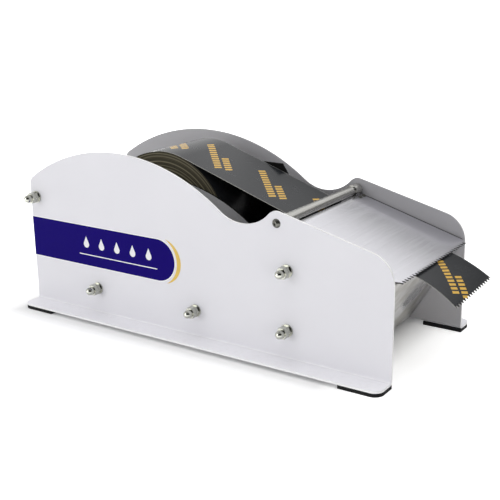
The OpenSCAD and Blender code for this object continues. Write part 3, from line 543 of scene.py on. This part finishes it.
# Painted highlight: the face lightens towards both long edges.
painted_tape_highlight = span(tree, math_node(tree, "ABSOLUTE", mapped["Y"]),
              TAPE_HALF - EDGE_HIGHLIGHT_WIDTH, TAPE_HALF - EDGE_HIGHLIGHT_WIDTH / 2, 0.0, 0.8)
face = blend_colours(tree, painted_tape_highlight, face, TAPE_EDGE_HIGHLIGHT)
tree.links.new(blend_colours(tree, marks["Ink"], face, TAPE_INK), shader["Base Color"])
tree.links.new(span(tree, paper["Fleck"], FLECK_LOW, FLECK_HIGH, 0.26, 0.275), shader["Roughness"])
bump(tree, shader, paper["Height"], strength=0.006, depth=0.0002)
tape_gum, tree, shader, place = new_finish("tape_gum")
paper = use_effect(tree, paper_fibres, {"Place": place})
tree.links.new(blend_colours(tree, paper["Fleck"], GUM_DARK, GUM_LIGHT), shader["Base Color"])
tree.links.new(span(tree, paper["Fleck"], FLECK_LOW, FLECK_HIGH, 0.28, 0.42), shader["Roughness"])
tape_edge, tree, shader, place = new_finish("tape_edge", Roughness=0.8)
paper = use_effect(tree, paper_fibres, {"Place": place})
tree.links.new(blend_colours(tree, paper["Fleck"], FIBRE_DARK, FIBRE_LIGHT), shader["Base Color"])
for finish in (tape_face, tape_gum, tape_edge):
    mesh.materials.append(finish)
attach(tape_web, "frame")
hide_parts("tape_strip")

# Water tank. Folded from 1 mm stainless sheet, with a floor, two sides and a front that leans out to a
# rolled lip. It hooks over the upper rod. The mill finish is dull, cloudy and stained by water.
TANK_DULL, TANK_BRIGHT = (0.43, 0.42, 0.39, 1), (0.75, 0.75, 0.76, 1)
TANK_LINES, TANK_STAIN = (0.6, 0.6, 0.6, 1), (0.24, 0.225, 0.19, 1)

tank_steel, tree, shader, place = new_finish("tank_steel", Metallic=1.0)
edge = use_effect(tree, rounded_edge, {"Radius": 0.0004})
rolled = use_effect(tree, drawn_lines, {"Place": place, "Along": 30.0, "Across": 500.0})
cloud = span(tree, noise(tree, place, 30.0, Detail=2.0, Roughness=0.5), 0.35, 0.68)
tone = blend_colours(tree, cloud, TANK_DULL, TANK_BRIGHT)
tone = blend_colours(tree, math_node(tree, "MULTIPLY", rolled["Tone"], 0.2), tone, TANK_LINES)
stain = span(tree, noise(tree, place, 75.0, Detail=4.0, Roughness=0.6), 0.5, 0.7, 0.0, 0.4)
tree.links.new(blend_colours(tree, stain, tone, TANK_STAIN), shader["Base Color"])
tree.links.new(span(tree, cloud, 0.0, 1.0, 0.4, 0.24), shader["Roughness"])
bump(tree, shader, rolled["Height"], strength=0.06, depth=0.0001, normal=edge["Normal"])
dress(tank_steel, "water_tank")

# Wetting roller. Turned from ivory plastic, with grooves that lift the water to the gummed side of the
# tape. It drops with its steel axle into slots in the tank's sides, and is wet in patches.
IVORY_DARK, IVORY_LIGHT = (0.62, 0.59, 0.5, 1), (0.7, 0.67, 0.58, 1)

wet_plastic, tree, shader, place = new_finish("wetting_plastic", Coat_Roughness=0.1)
edge = use_effect(tree, rounded_edge, {"Radius": 0.0003})
grain = use_effect(tree, powder_texture, {"Place": place, "Grain": 500.0})
wet = span(tree, noise(tree, place, 120.0, Detail=2.0), 0.5, 0.6)
tree.links.new(blend_colours(tree, grain["Tone"], IVORY_DARK, IVORY_LIGHT), shader["Base Color"])
tree.links.new(vary(tree, grain["Height"], 0.32, 0.48), shader["Roughness"])
tree.links.new(wet, shader["Coat Weight"])
tree.links.new(edge["Normal"], shader["Normal"])
dress(wet_plastic, "wetting_roller")

# Cover. A plate of stainless sheet, brushed across, with a row of teeth cut in its front edge to tear the
# tape. Painted shade darkens its cut edges and a strip along both sides. It hangs on two steel lugs, which
# are rolled round the guide bar and riveted under the plate.
COVER_EDGE_SHADE, SIDE_SHADE_FROM, SIDE_SHADE_BLUR = (0.05, 0.05, 0.05, 1), 0.0722, 0.0005
COVER_NORMAL = (math.sin(-RUN_TURN), 0.0, math.cos(RUN_TURN))
COVER_DULL, COVER_BRIGHT = (0.79, 0.785, 0.83, 1), (0.93, 0.925, 0.97, 1)
COVER_STREAK = (0.76, 0.755, 0.8, 1)

cover_steel, tree, shader, place = new_finish("brushed_cover_steel", Metallic=1.0)
brushed = use_effect(tree, drawn_lines, {"Place": place, "Along": 14.0, "Across": 1500.0})
streaks = use_effect(tree, drawn_lines, {"Place": place, "Along": 4.0, "Across": 600.0})
tone = blend_colours(tree, brushed["Tone"], COVER_DULL, COVER_BRIGHT)
streaky = math_node(tree, "MULTIPLY", streaks["Tone"], 0.35)
tone = blend_colours(tree, streaky, tone, COVER_STREAK)
surface = tree.nodes.new("ShaderNodeTexCoord").outputs["Normal"]
level = vector_node(tree, "DOT_PRODUCT", surface, COVER_NORMAL)["Value"]
off_middle = math_node(tree, "ABSOLUTE", xyz(tree, place)["Y"])
# Painted shade: the cut edges and a strip along both sides are dark.
cut = math_node(tree, "MAXIMUM", span(tree, math_node(tree, "ABSOLUTE", level), 0.7, 0.5),
                span(tree, off_middle, SIDE_SHADE_FROM, SIDE_SHADE_FROM + SIDE_SHADE_BLUR))
tree.links.new(blend_colours(tree, cut, tone, COVER_EDGE_SHADE), shader["Base Color"])
tree.links.new(math_node(tree, "MAXIMUM", span(tree, brushed["Tone"], 0.0, 1.0, 0.2, 0.26),
                         math_node(tree, "MULTIPLY", cut, 0.6)), shader["Roughness"])
bump(tree, shader, brushed["Height"], strength=0.2, depth=0.0001)
dress(cover_steel, "cover_plate")
dress(bar_steel, "left_hinge_lug", "right_hinge_lug")
dress(screw_steel, "lug_rivets")

# Label. A band of blue printed film with a round end and a gold crescent beside it, on the left plate.
# The film is die-cut with a narrow white border. Its print, with a row of plain white drops over a rule,
# is slightly uneven under a clear gloss.
LABEL_X, LABEL_Z, LABEL_LEN, LABEL_H, LABEL_Y = -0.2292015, 0.0535, 0.189, 0.042, -0.077
BORDER, BORDER_T, END_STEPS = 0.0009, 0.0001, 48
DROP_COUNT, DROP_PITCH, DROP_R, DROP_TIP = 5, 0.0205, 0.0036, 0.0085
DROPS_X, DROPS_Z = LABEL_X + 0.116, LABEL_Z + 0.0225
RULE_Z, RULE_HALF = LABEL_Z + 0.0115, 0.0005
PRINT_GRAIN = 2600.0
BLUE_DARK, BLUE_LIGHT = (0.006, 0.0012, 0.13, 1), (0.009, 0.002, 0.155, 1)
GOLD_DARK, GOLD_LIGHT = (0.7, 0.48, 0.1, 1), (0.8, 0.57, 0.16, 1)
FILM_DULL, FILM_BRIGHT, WHITE_INK = (0.9, 0.9, 0.9, 1), (0.94, 0.94, 0.94, 1), (0.86, 0.86, 0.88, 1)

label_blue, tree, shader, place = new_finish("label_blue", Specular_IOR_Level=0.03)
grain = use_effect(tree, powder_texture, {"Place": place, "Grain": PRINT_GRAIN})
at = xyz(tree, place)
from_drops = math_node(tree, "SUBTRACT", at["X"], DROPS_X)
drop_steps = math_node(tree, "ADD", math_node(tree, "DIVIDE", from_drops, DROP_PITCH), DROP_COUNT / 2)
in_step = math_node(tree, "SUBTRACT", math_node(tree, "FRACT", drop_steps), 0.5)
beside = math_node(tree, "ABSOLUTE", math_node(tree, "MULTIPLY", in_step, DROP_PITCH))
above = math_node(tree, "SUBTRACT", at["Z"], DROPS_Z)
offset = put(tree, "ShaderNodeCombineXYZ", {"X": beside, "Y": above}).outputs[0]
ball = math_node(tree, "LESS_THAN", vector_node(tree, "LENGTH", offset)["Value"], DROP_R)
taper = DROP_R / math.sqrt(DROP_TIP ** 2 - DROP_R ** 2)
tip_half = math_node(tree, "MULTIPLY", math_node(tree, "SUBTRACT", DROP_TIP, above), taper)
tip = math_node(tree, "MULTIPLY", math_node(tree, "GREATER_THAN", above, DROP_R ** 2 / DROP_TIP),
                math_node(tree, "LESS_THAN", beside, tip_half))
drop = math_node(tree, "MAXIMUM", ball, tip)
from_rule = math_node(tree, "ABSOLUTE", math_node(tree, "SUBTRACT", at["Z"], RULE_Z))
rule = math_node(tree, "LESS_THAN", from_rule, RULE_HALF)
in_print = math_node(tree, "LESS_THAN", math_node(tree, "ABSOLUTE", from_drops),
                     DROP_COUNT * DROP_PITCH / 2)
inked = math_node(tree, "MULTIPLY", in_print, math_node(tree, "MAXIMUM", drop, rule))
blue = blend_colours(tree, grain["Tone"], BLUE_DARK, BLUE_LIGHT)
tree.links.new(blend_colours(tree, inked, blue, WHITE_INK), shader["Base Color"])
tree.links.new(vary(tree, grain["Height"], 0.26, 0.36), shader["Roughness"])
dress(label_blue, "side_label")

label_gold, tree, shader, place = new_finish("label_gold", Specular_IOR_Level=0.15)
grain = use_effect(tree, powder_texture, {"Place": place, "Grain": PRINT_GRAIN})
tree.links.new(blend_colours(tree, grain["Tone"], GOLD_DARK, GOLD_LIGHT), shader["Base Color"])
tree.links.new(vary(tree, grain["Height"], 0.26, 0.36), shader["Roughness"])
dress(label_gold, "label_crescent")

label_white, tree, shader, place = new_finish("label_white")
grain = use_effect(tree, powder_texture, {"Place": place, "Grain": PRINT_GRAIN})
tree.links.new(blend_colours(tree, grain["Tone"], FILM_DULL, FILM_BRIGHT), shader["Base Color"])
tree.links.new(vary(tree, grain["Height"], 0.3, 0.4), shader["Roughness"])
shape = bmesh.new()
radius = LABEL_H / 2 + BORDER
centre_x, centre_z = LABEL_X + LABEL_LEN - LABEL_H / 2, LABEL_Z + LABEL_H / 2
outline = [(LABEL_X, centre_z - radius)]
for i in range(END_STEPS + 1):
    turn = math.pi * (i / END_STEPS - 0.5)
    outline.append((centre_x + radius * math.cos(turn), centre_z + radius * math.sin(turn)))
outline.append((LABEL_X, centre_z + radius))
film = shape.faces.new([shape.verts.new((x, LABEL_Y, z)) for x, z in outline])
grown = bmesh.ops.extrude_face_region(shape, geom=[film])["geom"]
lifted = [corner for corner in grown if isinstance(corner, bmesh.types.BMVert)]
bmesh.ops.translate(shape, vec=(0, -BORDER_T, 0), verts=lifted)
bmesh.ops.recalc_face_normals(shape, faces=shape.faces)
mesh = bpy.data.meshes.new("label_border")
shape.to_mesh(mesh)
shape.free()
mesh.materials.append(label_white)
label_border = new_object("label_border", mesh)
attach(label_border, "frame")

# Studio. A white floor that keeps the shadow, soft lights on the left, overhead and at the front, and a
# bright even room that is dark behind the camera. A grey flag beyond the right plate, seen in reflections
# only, shades the cover. The camera stands at the photograph's angle.
WHITE, BEHIND_CAMERA, OVERHEAD = (1, 1, 1, 1), (0.01, 0.01, 0.01, 1), (0.45, 0.45, 0.45, 1)
FROM_CAMERA = (-0.55, 0.8, 0.2)
FLOOR_HALF, FLOOR_X, FLOOR_WHITE = 6, -0.048, (0.85, 0.85, 0.85, 1)
SHADOW_HALF, SHADOW_FADE, FLOOR_FADE = (0.182, 0.106, 0.0), 0.04, 0.5
FLAG_BLACK = (0.02, 0.02, 0.02, 1)
FLAG_Y, FLAG_OUTLINE = 0.3, [(-0.15, 0), (0.5, 0), (0.5, 0.24), (0.14, 0.258), (-0.15, 0.31)]

bpy.context.scene.view_settings.view_transform = "Standard"


def seen_by_eye(tree):
    """1 for rays that show the room itself: to the camera, in a reflection or through glass."""
    rays = tree.nodes.new("ShaderNodeLightPath").outputs
    mirror_or_eye = math_node(tree, "MAXIMUM", rays["Is Camera Ray"], rays["Is Glossy Ray"])
    return math_node(tree, "MAXIMUM", mirror_or_eye, rays["Is Transmission Ray"])


room = bpy.data.worlds.new("room")
bpy.context.scene.world = room
room.use_nodes = True
tree = room.node_tree
background = tree.nodes["Background"].inputs
look = tree.nodes.new("ShaderNodeTexCoord").outputs["Generated"]
ahead = span(tree, vector_node(tree, "DOT_PRODUCT", look, FROM_CAMERA)["Value"], -0.5, 0.3)
wall = blend_colours(tree, ahead, BEHIND_CAMERA, WHITE)
overhead = span(tree, xyz(tree, look)["Z"], 0.7, 0.97)
rays = tree.nodes.new("ShaderNodeLightPath").outputs
dimmed = math_node(tree, "MULTIPLY", rays["Is Glossy Ray"], overhead)
wall = blend_colours(tree, dimmed, wall, OVERHEAD)
tree.links.new(blend_colours(tree, rays["Is Camera Ray"], wall, WHITE), background["Color"])
tree.links.new(span(tree, seen_by_eye(tree), 0.0, 1.0, 0.32, 1.0), background["Strength"])

floor_mesh = bpy.data.meshes.new("floor")
floor_corners = [(-FLOOR_HALF, -FLOOR_HALF, 0), (FLOOR_HALF, -FLOOR_HALF, 0),
                 (FLOOR_HALF, FLOOR_HALF, 0), (-FLOOR_HALF, FLOOR_HALF, 0)]
floor_mesh.from_pydata(floor_corners, [], [(0, 1, 2, 3)])
floor = new_object("floor", floor_mesh)
floor.location.x = FLOOR_X
floor_paper, tree, shader, place = new_finish(
    "floor_paper", Base_Color=FLOOR_WHITE, Roughness=1.0, Specular_IOR_Level=0.0, Emission_Color=WHITE)
# Painted light: the floor glows to the eye, faintly close round the object and fully further away, which
# washes out its shadow beyond a box round the object.
beyond = vector_node(tree, "SUBTRACT", vector_node(tree, "ABSOLUTE", place)[0], SHADOW_HALF)[0]
beyond = vector_node(tree, "MAXIMUM", beyond, (0.0, 0.0, 0.0))[0]
away = vector_node(tree, "LENGTH", beyond)["Value"]
glow = math_node(tree, "ADD", span(tree, away, 0.0, SHADOW_FADE, 0.06, 0.6),
                 span(tree, away, SHADOW_FADE, FLOOR_FADE, 0.0, 0.6))
tree.links.new(math_node(tree, "MULTIPLY", seen_by_eye(tree), glow), shader["Emission Strength"])
floor_mesh.materials.append(floor_paper)


def soft_light(name, location, target, size, watts):
    """A square softbox that faces a point of the object."""
    lamp = bpy.data.lights.new(name, "AREA")
    lamp.size, lamp.energy = size, watts
    light = new_object(name, lamp)
    light.location = location
    light.rotation_euler = (Vector(target) - Vector(location)).to_track_quat("-Z", "Y").to_euler()
    return light


soft_light("left_softbox", (-1.0, -1.9, 0.6), (0, 0, 0.08), 1.5, 20)
soft_light("top_softbox", (0.1, 0.1, 1.9), (0, 0, 0.1), 3.2, 48).visible_glossy = False
soft_light("front_fill", (1.5, -0.9, 0.35), (0.15, 0, 0.06), 0.8, 6).visible_glossy = False

flag_mesh = bpy.data.meshes.new("flag")
flag_mesh.from_pydata([(x, FLAG_Y, z) for x, z in FLAG_OUTLINE], [], [tuple(range(len(FLAG_OUTLINE)))])
flag = new_object("flag", flag_mesh)
flag.visible_camera = flag.visible_diffuse = flag.visible_shadow = flag.visible_transmission = False
flag_cloth = new_finish("flag_cloth", Base_Color=FLAG_BLACK, Roughness=1.0, Emission_Color=WHITE,
                        Emission_Strength=0.2)[0]
flag_mesh.materials.append(flag_cloth)

EYE, AIM = Vector((0.5192, -0.7709, 0.3591)), Vector((-0.00495, 0, 0.0732))
CAMERA_ROLL, FOCAL_LENGTH, SENSOR_WIDTH = math.radians(-0.9), 70.07, 36
lens = bpy.data.cameras.new("camera")
lens.lens, lens.sensor_width = FOCAL_LENGTH, SENSOR_WIDTH
camera = new_object("camera", lens)
forwards = (AIM - EYE).normalized()
right = forwards.cross(Vector((0, 0, 1))).normalized()
upward = right.cross(forwards)
tilted_right = right * math.cos(CAMERA_ROLL) + upward * math.sin(CAMERA_ROLL)
tilted_up = upward * math.cos(CAMERA_ROLL) - right * math.sin(CAMERA_ROLL)
axes = Matrix((tilted_right, tilted_up, -forwards)).transposed()
camera.matrix_world = Matrix.Translation(EYE) @ axes.to_4x4()
bpy.context.scene.camera = camera
